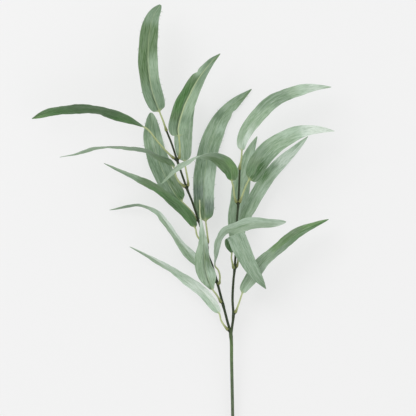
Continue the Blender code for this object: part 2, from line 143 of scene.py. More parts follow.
class Tone(Enum):
    """Greens of the print, painted shade and painted light, from shaded fresh green to thick pale bloom.
    """

    DEEP = "#3f6336"
    GRASS = "#4c7640"
    FERN = "#5b784f"
    FRESH = "#688d54"
    SLATE = "#6a7e70"
    MOSS = "#779075"
    SAGE = "#91a98d"
    MIST = "#aac0aa"
    FROST = "#cad8cb"
    CREAM = "#c6cd9e"
    PALE = "#dce6dc"


DEEP, GRASS, FERN, FRESH, SLATE, MOSS, SAGE, MIST, FROST, CREAM, PALE = Tone


@dataclass(frozen=True)
class Shades:
    """How one leaf is coloured: its print, with painted shade and painted light.

    Each stop is a share of the blade's length, then the greens of its left and right halves.
    The underside has one green at its base and one at its tip. Besides the print, these greens
    carry painted shade where a half or part of the leaf lies in shade, and painted light where
    it faces the light.
    """

    stops: tuple[tuple[float, Tone, Tone], ...]
    under: tuple[Tone, Tone] = (MIST, FROST)
    rib: float = 0.2
    # Strength of the painted shade in the crease left of the midrib
    groove_shade: float = 0.0
    bloom: float = 0.5

    def at(self, t: float, side: int) -> Colour:
        """Green at one share of the length.

        Args:
            t: Share of the blade's length.
            side: 1 for the left half and 2 for the right one.

        Returns:
            A linear colour.
        """
        for before, after in zip(self.stops, self.stops[1:]):
            if t <= after[0]:
                share = ease((t - before[0]) / (after[0] - before[0]))
                return blend(linear(before[side].value), linear(after[side].value), share)
        return linear(self.stops[-1][side].value)


@dataclass(frozen=True)
class LeafShape:
    """One leaf: where it is seated, its petiole and midrib routes, how its blade is turned.

    Lengths are in millimetres. The rolls are degrees at even steps along the blade, and the
    fold is the slope of both halves. A dent is a share of the length and a side, -1 or 1.
    """

    name: str
    node: Point
    seat: Point
    petiole: tuple[Point, ...]
    blade: tuple[Point, ...]
    width: float
    rolls: tuple[float, ...]
    shades: Shades
    fold: float = 8.0
    wave: float = 1.0
    slot: str = "leaf_sage"
    outline: Outline = Outline.LANCE
    bends_over: bool = False
    frayed: int = 0
    dents: tuple[tuple[float, int], ...] = ()


# A leaf that bends over is a sheet rolled round this line
BEND_AXIS = (0.93, 0.37, 0)

FORK_NODE = (0, 3, 19.2)
LEFT_E = (-9.9, 39, 22.3)
LEFT_D = (-17, 66, 26)
LEFT_C = (-30, 112.5, 31)
LEFT_H = (-40, 142.5, 34)
LEFT_B = (-55, 184, 38)
LEFT_A = (-67, 218.5, 41)
LEFT_END = (-81, 257.5, 45)
RIGHT_4 = (3, 25, 21)
RIGHT_3 = (4.5, 82.5, 27)
RIGHT_2 = (7, 121, 31)
RIGHT_1 = (9, 164, 35)
RIGHT_END = (11, 209.5, 39)

MAIN_STEM = ((2.6, -186, 1.52), (2.5, -130, 6), (2.3, -100, 9), (0.8, -32, 16), (0, 0, 19))
LEFT_TWIG = ((-5, 20, 20), (-8, 32, 21), LEFT_E, LEFT_D, (-21, 79.5, 28), (-24, 89.5, 29),
             (-28.5, 101, 30), LEFT_C, LEFT_H, (-48.5, 168, 36.5), LEFT_B, LEFT_A,
             (-73.5, 238.5, 43), LEFT_END)
RIGHT_TWIG = ((0, -3, 18.7), (1, 7.5, 19.5), RIGHT_4, (2, 45, 23), (3, 67.5, 25.5), RIGHT_3,
              RIGHT_2, (7.5, 145, 33.5), RIGHT_1, (10, 182.5, 37), RIGHT_END)

LEAVES = (
    LeafShape(
        "leaf_left_01", FORK_NODE, (-5, 8.5, 21.5), ((-8.5, 12.8, 22.8), (-12.5, 19.5, 24.8)),
        ((-14.3, 27.1, 27), (-20.7, 38, 29), (-31.2, 51, 31), (-43.2, 62, 32), (-57.3, 73, 32),
         (-71.3, 82, 31), (-87.5, 91, 29), (-103.5, 100.5, 26), (-127, 111.5, 21)),
        20, (30, 48, 58, 70, 62), slot="leaf_pale",
        shades=Shades(((0, MIST, FROST), (0.2, MIST, PALE), (0.3, FROST, FROST), (0.5, MIST, MIST),
            (0.7, SAGE, FROST), (1, MOSS, MIST)), bloom=0.7)),
    LeafShape(
        "leaf_left_02", LEFT_E, (-13.2, 43, 25.2), ((-15.9, 48, 28.7), (-18.9, 52.7, 33.6)),
        ((-22.5, 57.3, 39.8), (-26.5, 66, 46), (-30, 78, 53), (-32.5, 91, 62), (-33, 106, 72),
         (-33, 123, 82), (-35, 137, 89), (-38.3, 152, 94), (-38.8, 170, 96.5)),
        25, (10, 20, 50, 64, 50), fold=14, outline=Outline.DRAWN_OUT,
        shades=Shades(((0, FERN, SAGE), (0.1, SAGE, SAGE), (0.2, SAGE, MIST), (0.32, SAGE, MOSS),
            (0.4, SAGE, FERN), (0.5, SAGE, MOSS), (0.6, SAGE, MIST), (0.68, MIST, MIST),
            (0.78, FROST, MIST), (0.86, CREAM, CREAM), (1, CREAM, CREAM)),
            rib=0.3, groove_shade=1.0, bloom=0.5)),
    LeafShape(
        "leaf_left_03", LEFT_D, (-20.2, 68.2, 24.6), ((-25.5, 73.5, 22.2),),
        ((-35, 85, 20), (-54, 105.8, 20), (-74.3, 132.4, 20), (-83.5, 145.2, 19.5), (-91.5, 155.6, 18),
         (-104, 161.6, 15), (-116, 164.2, 12), (-132.5, 161.9, 8.5), (-152.5, 157.5, 5)),
        18.5, (16, 56, 68, 73, 68), slot="leaf_pale",
        shades=Shades(((0, SAGE, MIST), (0.2, SAGE, FROST), (0.5, SAGE, FROST), (0.62, MIST, MIST),
            (0.7, SAGE, SAGE), (0.78, MOSS, MOSS), (0.9, MOSS, MOSS), (1, SAGE, SAGE)), rib=0.1)),
    LeafShape(
        "leaf_left_04", LEFT_D, (-14.5, 65.5, 29), ((-14, 70, 34), (-14, 76, 40), (-16, 82.5, 46)),
        ((-20, 88, 52), (-20, 100, 61), (-18.4, 111.8, 70), (-14.6, 122.6, 78), (-7, 132.6, 84),
         (6, 136.5, 88), (17.5, 140.5, 90), (30, 142, 89), (46, 142, 86), (68, 142.5, 78)),
        21, (-76, -74, -49, -44, -46), outline=Outline.BLUNT,
        shades=Shades(((0, SAGE, MOSS), (0.2, SAGE, MIST), (0.45, MIST, SAGE), (0.7, MIST, SAGE),
            (0.85, MIST, SAGE), (1, MIST, FROST)), rib=0.1, bloom=0.6)),
    LeafShape(
        "leaf_left_05", LEFT_C, (-29, 117.5, 30), ((-29.5, 126, 29),),
        ((-31.5, 142.5, 25), (-32.9, 155, 23), (-33.9, 172.5, 20), (-33.9, 191, 16), (-31.7, 210, 12.5),
         (-28.2, 232.5, 9), (-21.5, 252.5, 6.5), (-12.5, 271.8, 4.5), (2.6, 289.8, 3.2),
         (26, 309.5, 2.8)),
        27, (8, 8, 0, -6, 0), fold=6, outline=Outline.BLUNT_BASE, frayed=30, dents=((0.8, 1),),
        shades=Shades(((0, FERN, GRASS), (0.1, FERN, SLATE), (0.2, SLATE, MIST), (0.3, MOSS, MIST),
            (0.4, MOSS, MOSS), (0.47, MOSS, MOSS), (0.57, SAGE, SAGE), (0.65, SAGE, MIST),
            (0.72, MOSS, SAGE), (0.8, SAGE, SAGE), (1, MOSS, FERN)), rib=0.25)),
    LeafShape(
        "leaf_left_06", LEFT_C, (-34, 115.5, 32.5), ((-39, 120.5, 35), (-42.5, 126, 38)),
        ((-44.5, 134.5, 41), (-50, 146, 44), (-62.5, 161.3, 47), (-79.2, 175.3, 48), (-97, 187.3, 46),
         (-120, 199, 41), (-138.5, 206.5, 36), (-159, 216, 30)),
        19.4, (45, 52, 54, 54, 60), slot="leaf_deep", outline=Outline.TAPERED,
        shades=Shades(((0, GRASS, DEEP), (0.3, DEEP, GRASS), (0.5, GRASS, FERN), (0.6, FERN, FERN),
            (0.7, MOSS, SAGE), (1, MOSS, SAGE)), under=(FERN, FERN), rib=0.05, bloom=0.2)),
    LeafShape(
        "leaf_left_07", LEFT_H, (-43, 145.5, 31.5), ((-48, 154, 27),),
        ((-61, 167.5, 22), (-67.5, 174, 20), (-76.5, 188, 16), (-86, 207, 11.5), (-94, 229, 6.5),
         (-98.5, 249, 2.2), (-99.5, 264, 0.1), (-100.5, 280, 0.1)),
        26, (4, 4, 0, 0, 0), fold=3, wave=0.5, outline=Outline.BLUNT, frayed=14,
        shades=Shades(((0, GRASS, GRASS), (0.2, MOSS, FERN), (0.4, MOSS, MOSS), (0.6, MOSS, MOSS),
            (0.72, SAGE, SAGE), (0.82, MOSS, MOSS), (1, MOSS, SAGE)), rib=0.4)),
    LeafShape(
        "leaf_left_08", LEFT_B, (-59, 187.5, 41), ((-65, 193, 45), (-69, 200.5, 51)),
        ((-71, 210, 58), (-77.5, 219.5, 62), (-91, 225, 66), (-105, 231.5, 68), (-130, 236, 67),
         (-144, 236.5, 65), (-160.5, 236, 60), (-173, 234, 55), (-197, 227, 47), (-214, 223.5, 40)),
        23, (62, 76, 84, 74, 78), slot="leaf_deep", outline=Outline.TAPERED,
        shades=Shades(((0, FERN, GRASS), (0.15, FERN, DEEP), (0.3, MOSS, MOSS), (0.5, SAGE, SAGE),
            (0.7, SAGE, SAGE), (1, SAGE, MIST)), under=(FERN, MOSS), rib=0.05, bloom=0.3)),
    LeafShape(
        "leaf_left_09", LEFT_B, (-53.5, 189, 38.5), ((-54.5, 198, 38), (-56, 206, 36)),
        ((-58, 218, 33), (-59.6, 232.5, 30), (-60.5, 249, 27), (-58.5, 267.5, 24), (-53, 287.5, 22),
         (-45.5, 305, 21)),
        23.5, (-12, -18, -14, -10, 0), slot="leaf_pale",
        shades=Shades(((0, SAGE, MOSS), (0.3, MIST, SAGE), (0.42, SAGE, SAGE), (0.55, MOSS, SAGE),
            (0.7, MOSS, MOSS), (0.8, SAGE, SAGE), (1, SAGE, SAGE)), rib=0.1)),
    LeafShape(
        "leaf_left_10", LEFT_A, (-72.5, 223, 43.5), ((-83, 233, 49), (-92.5, 244, 53), (-101, 255, 56)),
        ((-107.6, 260.4, 58), (-139.4, 275.6, 61), (-159.2, 281.7, 60), (-174, 284, 57),
         (-189, 285.2, 53), (-209, 283.5, 47), (-229, 279.3, 40), (-249, 271.9, 32)),
        24, (60, 58, 66, 54, 34), wave=0.8, slot="leaf_deep", outline=Outline.SLIM_BASE,
        shades=Shades(((0, FERN, MOSS), (0.15, GRASS, GRASS), (0.35, DEEP, DEEP), (0.6, DEEP, DEEP),
            (0.8, GRASS, GRASS), (1, FRESH, FERN)), under=(FERN, FERN), rib=0.05, bloom=0.2)),
    LeafShape(
        "leaf_left_11", LEFT_A, (-64.5, 223.5, 44), ((-64, 229.5, 48), (-64, 239, 52)),
        ((-65, 248.5, 56), (-66, 260, 59), (-58.7, 286, 64), (-52.7, 299, 65), (-46.5, 311.5, 65),
         (-40.3, 321.8, 63), (-33.2, 331.5, 60), (-24.2, 342.5, 56), (-13.5, 352.5, 50)),
        25.5, (4, 0, 0, 10, 20), fold=18, dents=((0.69, -1),), slot="leaf_deep",
        outline=Outline.TAPERED,
        # The darker greens of the left half are painted shade and the paler right half is painted light,
        # as the folded halves face away from and towards the light
        shades=Shades(((0, SAGE, SAGE), (0.12, MOSS, SAGE), (0.2, FERN, MOSS), (0.3, GRASS, SAGE),
            (0.48, GRASS, SAGE), (0.62, FERN, MOSS), (0.7, SAGE, MOSS), (0.85, MOSS, MOSS),
            (0.92, MOSS, FERN), (1, MOSS, GRASS)), rib=1.0, groove_shade=1.0, bloom=0.25)),
    LeafShape(
        "leaf_left_12", LEFT_END, LEFT_END, ((-84.5, 268, 47.5),),
        ((-89, 279.5, 50), (-98, 304, 54), (-102.5, 329, 57), (-103.5, 352.5, 58), (-102, 377, 57),
         (-97.5, 398, 54), (-88, 413.5, 50)),
        24.3, (-6, -4, 4, 6, 0), fold=10, outline=Outline.BLUNT, frayed=40,
        shades=Shades(((0, MOSS, MOSS), (0.2, MOSS, MOSS), (0.35, FERN, SAGE), (0.45, FERN, SAGE),
            (0.6, FERN, FERN), (0.75, FERN, FERN), (0.85, MOSS, MOSS), (1, MOSS, MOSS)),
            rib=0.5, groove_shade=0.9, bloom=0.25)),
    LeafShape(
        "leaf_right_01", RIGHT_4, (6, 30, 22.5), ((8.3, 36, 25), (10.9, 43.3, 28)),
        ((13.8, 52.3, 31), (17.5, 60.9, 33), (25.5, 72.1, 36), (37, 87.5, 39), (53, 103, 41),
         (70.3, 118.4, 41), (87.1, 130, 39), (105.4, 139.1, 36), (122.2, 145.8, 32)),
        22, (28, 42, 50, 44, 46),
        shades=Shades(((0, SAGE, MIST), (0.2, MOSS, SAGE), (0.3, SAGE, MIST), (0.4, SAGE, SAGE),
            (0.5, FRESH, MOSS), (0.7, FERN, GRASS), (0.85, FRESH, GRASS), (1, FRESH, GRASS)), rib=0.1)),
    LeafShape(
        "leaf_right_02", RIGHT_3, (3, 86, 29.5), ((1.8, 91, 33), (0.5, 97.5, 37)),
        ((1, 103.5, 42), (0.9, 112.2, 52), (2, 121.6, 61), (3.6, 126.9, 66), (6.4, 124.6, 68.5),
         (10.5, 115.1, 67), (15.4, 104.2, 63.5), (24.6, 86.5, 58.8), (34, 72, 54.5), (43.5, 59, 49)),
        23.5, (0, 0, 0, -6, 0), fold=5, wave=0.5, slot="leaf_pale", outline=Outline.FOLDED,
        bends_over=True,
        # The deep green of the rising back part is its print darkened by painted shade, as that part
        # faces away from the light
        shades=Shades(((0, GRASS, DEEP), (1, DEEP, DEEP)), under=(MIST, MOSS), rib=0.15)),
    LeafShape(
        "leaf_right_03", RIGHT_3, (7.5, 87.5, 25.3), ((9, 97, 23.5),),
        ((7.5, 116, 22), (7, 132.5, 19), (8, 151, 16), (10.5, 170, 13), (13, 191, 10), (19, 214, 7.5),
         (25.5, 234, 5.5), (33, 250, 4)),
        23.5, (-10, -12, -10, -6, 0), outline=Outline.BLUNT_BASE,
        shades=Shades(((0, SAGE, SAGE), (0.4, SAGE, MIST), (0.55, SAGE, SAGE), (0.8, SAGE, MIST),
            (1, SAGE, MOSS)), rib=0.2)),
    LeafShape(
        "leaf_right_04", RIGHT_2, (9.5, 125.5, 30.8), ((11, 128.5, 30.7),),
        ((12.5, 132.5, 30.5), (19.4, 153.8, 26), (23.1, 159.7, 24), (32.4, 177.3, 19),
         (42.8, 194, 13.5), (55.2, 209.1, 8.5), (69, 223, 3.6), (83, 236, 0.5), (97, 250, 0.1)),
        19, (-36, -26, -26, -12, 0), fold=3, wave=0.5,
        shades=Shades(((0, FERN, SAGE), (0.25, MOSS, SAGE), (0.4, SAGE, MIST), (0.5, GRASS, SAGE),
            (0.6, MOSS, MIST), (0.7, FROST, FROST), (0.9, MIST, FROST), (1, SAGE, MIST)),
            rib=0.05, bloom=0.5)),
    LeafShape(
        "leaf_right_05", RIGHT_1, (11.5, 168.5, 37.5), ((13.3, 173.5, 40.5), (16, 181, 44.5),
        (18.7, 188, 48)),
        ((22, 194.5, 51), (28.2, 202.5, 54), (34, 214.4, 58), (43.6, 227.3, 61.5), (56.1, 239, 63.5),
         (69.8, 247.5, 63.5), (82.5, 253.4, 62), (97, 256.8, 59), (112, 257.6, 54), (129, 256, 47)),
        25, (12, 14, 10, 6, 0), fold=14, slot="leaf_pale", outline=Outline.TAPERED,
        # The deep greens at the base, darkest on the right half, are painted shade where the base curls
        shades=Shades(((0, FERN, FERN), (0.08, GRASS, DEEP), (0.18, FERN, DEEP), (0.28, MOSS, MOSS),
            (0.42, SAGE, SAGE), (0.55, MIST, SAGE), (0.65, MIST, MIST), (0.7, FROST, FROST),
            (0.8, PALE, PALE), (1, PALE, PALE)), rib=0.1, bloom=0.5)),
    LeafShape(
        "leaf_right_06", RIGHT_1, (6.2, 168.5, 38), ((4, 176, 43), (3, 186, 50)),
        ((1, 193, 57), (0.5, 203.9, 63), (-2.6, 211, 68), (-9.1, 218.4, 72), (-19.1, 223.5, 75),
         (-30, 225, 76.5), (-42.5, 223.9, 77), (-57.5, 216.5, 76), (-72.5, 205, 73), (-87, 190, 67)),
        23, (12, 36, 84, 112, 118), slot="leaf_deep",
        shades=Shades(((0, GRASS, FERN), (0.2, FERN, FRESH), (0.35, FERN, MOSS), (0.5, SAGE, SAGE),
            (1, SAGE, SAGE)), under=(FROST, SAGE), rib=0.12, bloom=0.25)),
    LeafShape(
        "leaf_right_07", RIGHT_END, RIGHT_END, ((13, 222.5, 46),),
        ((13.5, 230.5, 49), (13.7, 240, 52), (18.2, 252.2, 55), (26.2, 265.5, 59), (38.5, 279.5, 62),
         (54, 292.5, 63), (73, 302.3, 61), (92.5, 308, 57), (110, 310.3, 52), (125, 311, 47)),
        22, (36, 34, 36, 36, 40),
        shades=Shades(((0, FROST, MIST), (0.12, SAGE, FROST), (0.3, SAGE, SAGE), (0.42, MOSS, SAGE),
            (0.52, MOSS, MOSS), (0.6, MOSS, MOSS), (0.68, SAGE, SAGE), (0.75, MIST, MIST),
            (0.85, FROST, FROST), (1, MIST, SAGE)), rib=0.05, bloom=0.6)),
)


class Smooth:
    """A smooth curve through values at given stations. The values are numbers or vectors."""

    def __init__(self, stations: Sequence[float], values: Sequence[Any],
                 first_slope: Any = None) -> None:
        """Work out the slopes.

        Args:
            stations: Rising stations.
            values: One value for each station.
            first_slope: Slope at the first station, where it isn't worked out.
        """
        self.stations = stations
        self.values = values
        last = len(values) - 1
        pairs = [(max(i - 1, 0), min(i + 1, last)) for i in range(len(values))]
        self.slopes = [(values[high] - values[low]) / (stations[high] - stations[low])
                       for low, high in pairs]
        if first_slope is not None:
            self.slopes[0] = first_slope

    def at(self, station: float) -> Any:
        """Value at one station.

        Args:
            station: Where the curve is read.

        Returns:
            A number or a vector, as the values are.
        """
        i = 0
        while i < len(self.stations) - 2 and station > self.stations[i + 1]:
            i += 1
        span = self.stations[i + 1] - self.stations[i]
        share = (station - self.stations[i]) / span
        cube = share ** 3
        square = share ** 2
        return (self.values[i] * (2 * cube - 3 * square + 1)
                + self.slopes[i] * (span * (cube - 2 * square + share))
                + self.values[i + 1] * (3 * square - 2 * cube)
                + self.slopes[i + 1] * (span * (cube - square)))

    @classmethod
    def route(cls, points: Sequence[Any], first_direction: Vector | None = None) -> "Smooth":
        """Smooth curve through route points, with the distance along them as its stations.

        Args:
            points: Places in millimetres.
            first_direction: Direction at the first point, where it isn't worked out.

        Returns:
            The curve.
        """
        places = [Vector(point) for point in points]
        stations = [0.0]
        for before, after in zip(places, places[1:]):
            stations.append(stations[-1] + (after - before).length)
        return cls(stations, places, first_direction)

    def along(self, station: float, reach: float = 0.2) -> Vector:
        """Direction of a route at one station.

        Args:
            station: Where the route is read.
            reach: Distance to either side that the direction is taken over.

        Returns:
            A unit vector.
        """
        low = max(station - reach, self.stations[0])
        high = min(station + reach, self.stations[-1])
        return (self.at(high) - self.at(low)).normalized()


def square_to(vector: Vector, along: Vector) -> Vector:
    """The part of a vector that is square to a direction, as a unit vector."""
    return (vector - along * vector.dot(along)).normalized()


def add_object(name: str, data: bpy.types.ID) -> bpy.types.Object:
    """Make an object and put it in the scene.

    Args:
        name: Name of the object.
        data: Its mesh, lamp or camera.

    Returns:
        The object.
    """
    made = bpy.data.objects.new(name, data)
    bpy.context.scene.collection.objects.link(made)
    return made


@dataclass
class Skin:
    """Vertices in millimetres from the fork, with what the materials read at each of them."""

    points: list[Vector] = field(default_factory=list)
    tones: list[float] = field(default_factory=list)
    places: list[float] = field(default_factory=list)
    ribs: list[float] = field(default_factory=list)
    faces: list[tuple[int, ...]] = field(default_factory=list)
    finish_of_face: list[int] = field(default_factory=list)
    sharp_degrees: float = 62.0

    def add_point(self, point: Vector, tone: Colour, place: Point, rib: float = 0.0,
                  bloom: float = 0.0) -> None:
        """Add one vertex.

        Args:
            point: Place in millimetres from the fork.
            tone: Linear colour.
            place: Millimetres across, millimetres along, and a number that tells pieces apart.
            rib: 1 on the crest of a bold midrib and 0 away from it.
            bloom: How thick the pale bloom may lie, from 0 to 1.
        """
        self.points.append(point)
        self.tones.extend((*tone, bloom))
        self.places.extend(place)
        self.ribs.append(rib)

    def add_face(self, corners: tuple[int, ...], finish: int = 0) -> None:
        """Add one face with the number of its finish."""
        self.faces.append(corners)
        self.finish_of_face.append(finish)

    def build(self, name: str, finishes: list[bpy.types.Material]) -> bpy.types.Object:
        """Make the mesh object.

        Args:
            name: Name of the piece.
            finishes: Materials, by the faces' numbers.

        Returns:
            The object, in metres in the frame.
        """
        mesh = bpy.data.meshes.new(name)
        placed = [((p.x + FORK.x) * MM, (p.y + FORK.y) * MM, max(p.z, 0.0) * MM)
                  for p in self.points]
        mesh.from_pydata(placed, [], self.faces)
        for finish in finishes:
            mesh.materials.append(finish)
        mesh.polygons.foreach_set("material_index", self.finish_of_face)
        for label, kind, key, values in (("tone", "FLOAT_COLOR", "color", self.tones),
                                         ("place", "FLOAT_VECTOR", "vector", self.places),
                                         ("rib", "FLOAT", "value", self.ribs)):
            mesh.attributes.new(label, kind, "POINT").data.foreach_set(key, values)
        mesh.shade_smooth()
        mesh.set_sharp_from_angle(angle=math.radians(self.sharp_degrees))
        mesh.update()
        return add_object(name, mesh)


def start_material(name: str, constants: dict[str, Any]) -> tuple[bpy.types.Material,
                                                                  bpy.types.Node]:
    """Start a material and set what is the same all over it.

    Args:
        name: Name of the material.
        constants: Values by the names of the shader's own sockets.

    Returns:
        The material and its shader.
    """
    made = bpy.data.materials.new(name)
    made.use_nodes = True
    shader = made.node_tree.nodes["Principled BSDF"]
    for socket, value in constants.items():
        shader.inputs[socket].default_value = value
    return made, shader


def read_vertices(tree: bpy.types.NodeTree, *names: str) -> list[bpy.types.Node]:
    """Nodes that read what the vertices of a skin hold under these names."""
    return [add_node(tree, "ShaderNodeAttribute", {"attribute_name": name}) for name in names]


@dataclass(frozen=True)
class Grain:
    """Noise whose grains have a real width across a piece and a real length along it."""

    width_mm: float
    length_mm: float
    detail: float
    roughness: float = 0.6
    apart: float = 7.3

    def noise(self, tree: bpy.types.NodeTree, place: bpy.types.Node) -> bpy.types.NodeSocket:
        """Add the noise.

        Args:
            tree: The material's node tree.
            place: Node that reads the millimetres across and along.

        Returns:
            The noise, from 0 to 1.
        """
        scaled = add_node(tree, "ShaderNodeVectorMath", {"operation": "MULTIPLY"},
                          {0: place.outputs["Vector"],
                           1: (1 / self.width_mm, 1 / self.length_mm, self.apart)})
        noise = add_node(tree, "ShaderNodeTexNoise", {"noise_dimensions": "3D"},
                         {"Vector": scaled.outputs[0], "Scale": 1.0, "Detail": self.detail,
                          "Roughness": self.roughness})
        return noise.outputs["Fac"]


@dataclass(frozen=True)
class Ramp:
    """Share that rises from 0, where a noise has its first value, to the most at its second."""

    start: float
    end: float
    most: float = 1.0

    def inputs(self, noise: bpy.types.NodeSocket) -> dict[str, Any]:
        """Inputs of the map range node that makes the share."""
        return {"Value": noise, "From Min": self.start, "From Max": self.end, "To Max": self.most}

    def lay(self, tree: bpy.types.NodeTree, noise: bpy.types.NodeSocket,
            below: bpy.types.NodeSocket | tuple[float, ...], over: Colour,
            mode: str = "MIX") -> bpy.types.NodeSocket:
        """Lay one colour over another by the share.

        Args:
            tree: The material's node tree.
            noise: What the share follows.
            below: Colour that is covered.
            over: Linear colour that covers it.
            mode: How the two are blended.

        Returns:
            The new colour.
        """
        share = add_node(tree, "ShaderNodeMapRange", inputs=self.inputs(noise))
        mixed = add_node(tree, "ShaderNodeMix", {"data_type": "RGBA", "blend_type": mode},
                         {0: share.outputs[0], 6: below, 7: (*over, 1.0)})
        return mixed.outputs[2]


@dataclass(frozen=True)
class SilkLeaf:
    """Printed silk leaf: woven polyester, heat-pressed, with a frosted green print.

    The eye sees fine threads and print streaks along the blade, a soft sheen and no gloss. Real
    threads are about 0.15 mm apart, too fine to show, so they are drawn as coarse as 0.9 mm.
    """

    streaks: Grain = Grain(1.2, 15.0, 5.0)
    threads: Grain = Grain(0.9, 6.0, 2.0)
    cloud: Grain = Grain(5.0, 32.0, 3.0)
    dark_streaks: Ramp = Ramp(0.52, 0.34, 0.5)
    dark_threads: Ramp = Ramp(0.52, 0.36, 0.35)
    pale_streaks: Ramp = Ramp(0.5, 0.68, 0.55)
    pale_cloud: Ramp = Ramp(0.46, 0.74, 0.45)
    vein_lines: Ramp = Ramp(0.86, 1.0)
    vein_spacing_mm: float = 2.6
    vein_slant: float = 0.22
    vein_share: float = 0.12
    vein_wander: float = 1.2
    vein_wander_scale: float = 0.6
    rib_colour: str = "#bcc89a"
    bloom_colour: str = "#cbd7cb"
    # Share of red, green and blue that is left in a shaded streak or thread
    shade_filter: Colour = (0.36, 0.46, 0.34)
    roughness: float = 0.68
    specular: float = 0.25
    sheen: float = 0.1
    sheen_roughness: float = 0.5
    relief_mm: float = 0.16
    relief_strength: float = 0.8
    thread_relief: float = 0.6
    vein_relief: float = 0.4

    def material(self) -> bpy.types.Material:
        """Build the material.

        Returns:
            A material that reads the tone, bloom, place and rib of each vertex.
        """
        made, shader = start_material("silk_leaf", {
            "Roughness": self.roughness, "Specular IOR Level": self.specular,
            "Sheen Weight": self.sheen, "Sheen Roughness": self.sheen_roughness})
        tree = made.node_tree
        tone, place, rib = read_vertices(tree, "tone", "place", "rib")
        streaks = self.streaks.noise(tree, place)
        threads = self.threads.noise(tree, place)
        cloud = self.cloud.noise(tree, place)
        veins = self.veins(tree, place)
        colour = tone.outputs["Color"]
        for ramp, noise in ((self.dark_streaks, streaks), (self.dark_threads, threads)):
            colour = ramp.lay(tree, noise, colour, self.shade_filter, "MULTIPLY")
        lit, powder = [add_node(tree, "ShaderNodeMapRange", inputs=ramp.inputs(noise)).outputs[0]
                       for ramp, noise in ((self.pale_streaks, streaks), (self.pale_cloud, cloud))]
        both = add_node(tree, "ShaderNodeMath", {"operation": "MAXIMUM"}, {0: lit, 1: powder})
        frosting = add_node(tree, "ShaderNodeMath", {"operation": "MULTIPLY"},
                            {0: both.outputs[0], 1: tone.outputs["Alpha"]})
        vein_share = add_node(tree, "ShaderNodeMath", {"operation": "MULTIPLY"},
                              {0: veins, 1: self.vein_share})
        for share, over in ((frosting.outputs[0], self.bloom_colour),
                            (vein_share.outputs[0], self.rib_colour),
                            (rib.outputs["Fac"], self.rib_colour)):
            mixed = add_node(tree, "ShaderNodeMix", {"data_type": "RGBA"},
                             {0: share, 6: colour, 7: (*linear(over), 1.0)})
            colour = mixed.outputs[2]
        tree.links.new(colour, shader.inputs["Base Color"])
        height = add_node(tree, "ShaderNodeMath", {"operation": "MULTIPLY_ADD"},
                          {0: threads, 1: self.thread_relief, 2: streaks})
        raised = add_node(tree, "ShaderNodeMath", {"operation": "MULTIPLY_ADD"},
                          {0: veins, 1: self.vein_relief, 2: height.outputs[0]})
        bump = add_node(tree, "ShaderNodeBump",
                        inputs={"Strength": self.relief_strength, "Distance": self.relief_mm * MM,
                                "Height": raised.outputs[0]})
        tree.links.new(bump.outputs[0], shader.inputs["Normal"])
        return made

    def veins(self, tree: bpy.types.NodeTree, place: bpy.types.Node) -> bpy.types.NodeSocket:
        """Side veins that leave the midrib at a flat slant.

        Args:
            tree: The material's node tree.
            place: Node that reads the millimetres across and along.

        Returns:
            A value that is 1 on a vein and 0 between veins.
        """
        across = add_node(tree, "ShaderNodeSeparateXYZ", inputs={0: place.outputs["Vector"]})
        side = add_node(tree, "ShaderNodeMath", {"operation": "ABSOLUTE"},
                        {0: across.outputs["X"]})
        slant = add_node(tree, "ShaderNodeMath", {"operation": "MULTIPLY_ADD"},
                         {0: across.outputs["Y"], 1: -self.vein_slant, 2: side.outputs[0]})
        lined = add_node(tree, "ShaderNodeCombineXYZ",
                         inputs={"X": slant.outputs[0], "Z": across.outputs["Z"]})
        bands = add_node(tree, "ShaderNodeTexWave", {"wave_type": "BANDS", "bands_direction": "X"},
                         {"Vector": lined.outputs[0], "Scale": math.pi / 10 / self.vein_spacing_mm,
                          "Distortion": self.vein_wander, "Detail": 2.0,
                          "Detail Scale": self.vein_wander_scale})
        lines = add_node(tree, "ShaderNodeMapRange",
                         inputs=self.vein_lines.inputs(bands.outputs["Fac"]))
        return lines.outputs[0]


@dataclass(frozen=True)
class SoftSleeve:
    """Petiole sleeve: soft polyethylene, moulded in pale yellow-green.

    The eye sees a satin skin with faint long streaks, which darkens to olive at the wood.
    """

    streaks: Grain = Grain(0.7, 8.0, 2.0)
    dark_streaks: Ramp = Ramp(0.65, 0.3, 0.35)
    streak_colour: str = "#6f7a45"
    roughness: float = 0.5

    def material(self) -> bpy.types.Material:
        """Build the material.

        Returns:
            A material that reads the tone and place of each vertex.
        """
        made, shader = start_material("petiole_sleeve", {"Roughness": self.roughness})
        tree = made.node_tree
        tone, place = read_vertices(tree, "tone", "place")
        colour = self.dark_streaks.lay(tree, self.streaks.noise(tree, place),
                                       tone.outputs["Color"], linear(self.streak_colour))
        tree.links.new(colour, shader.inputs["Base Color"])
        return made


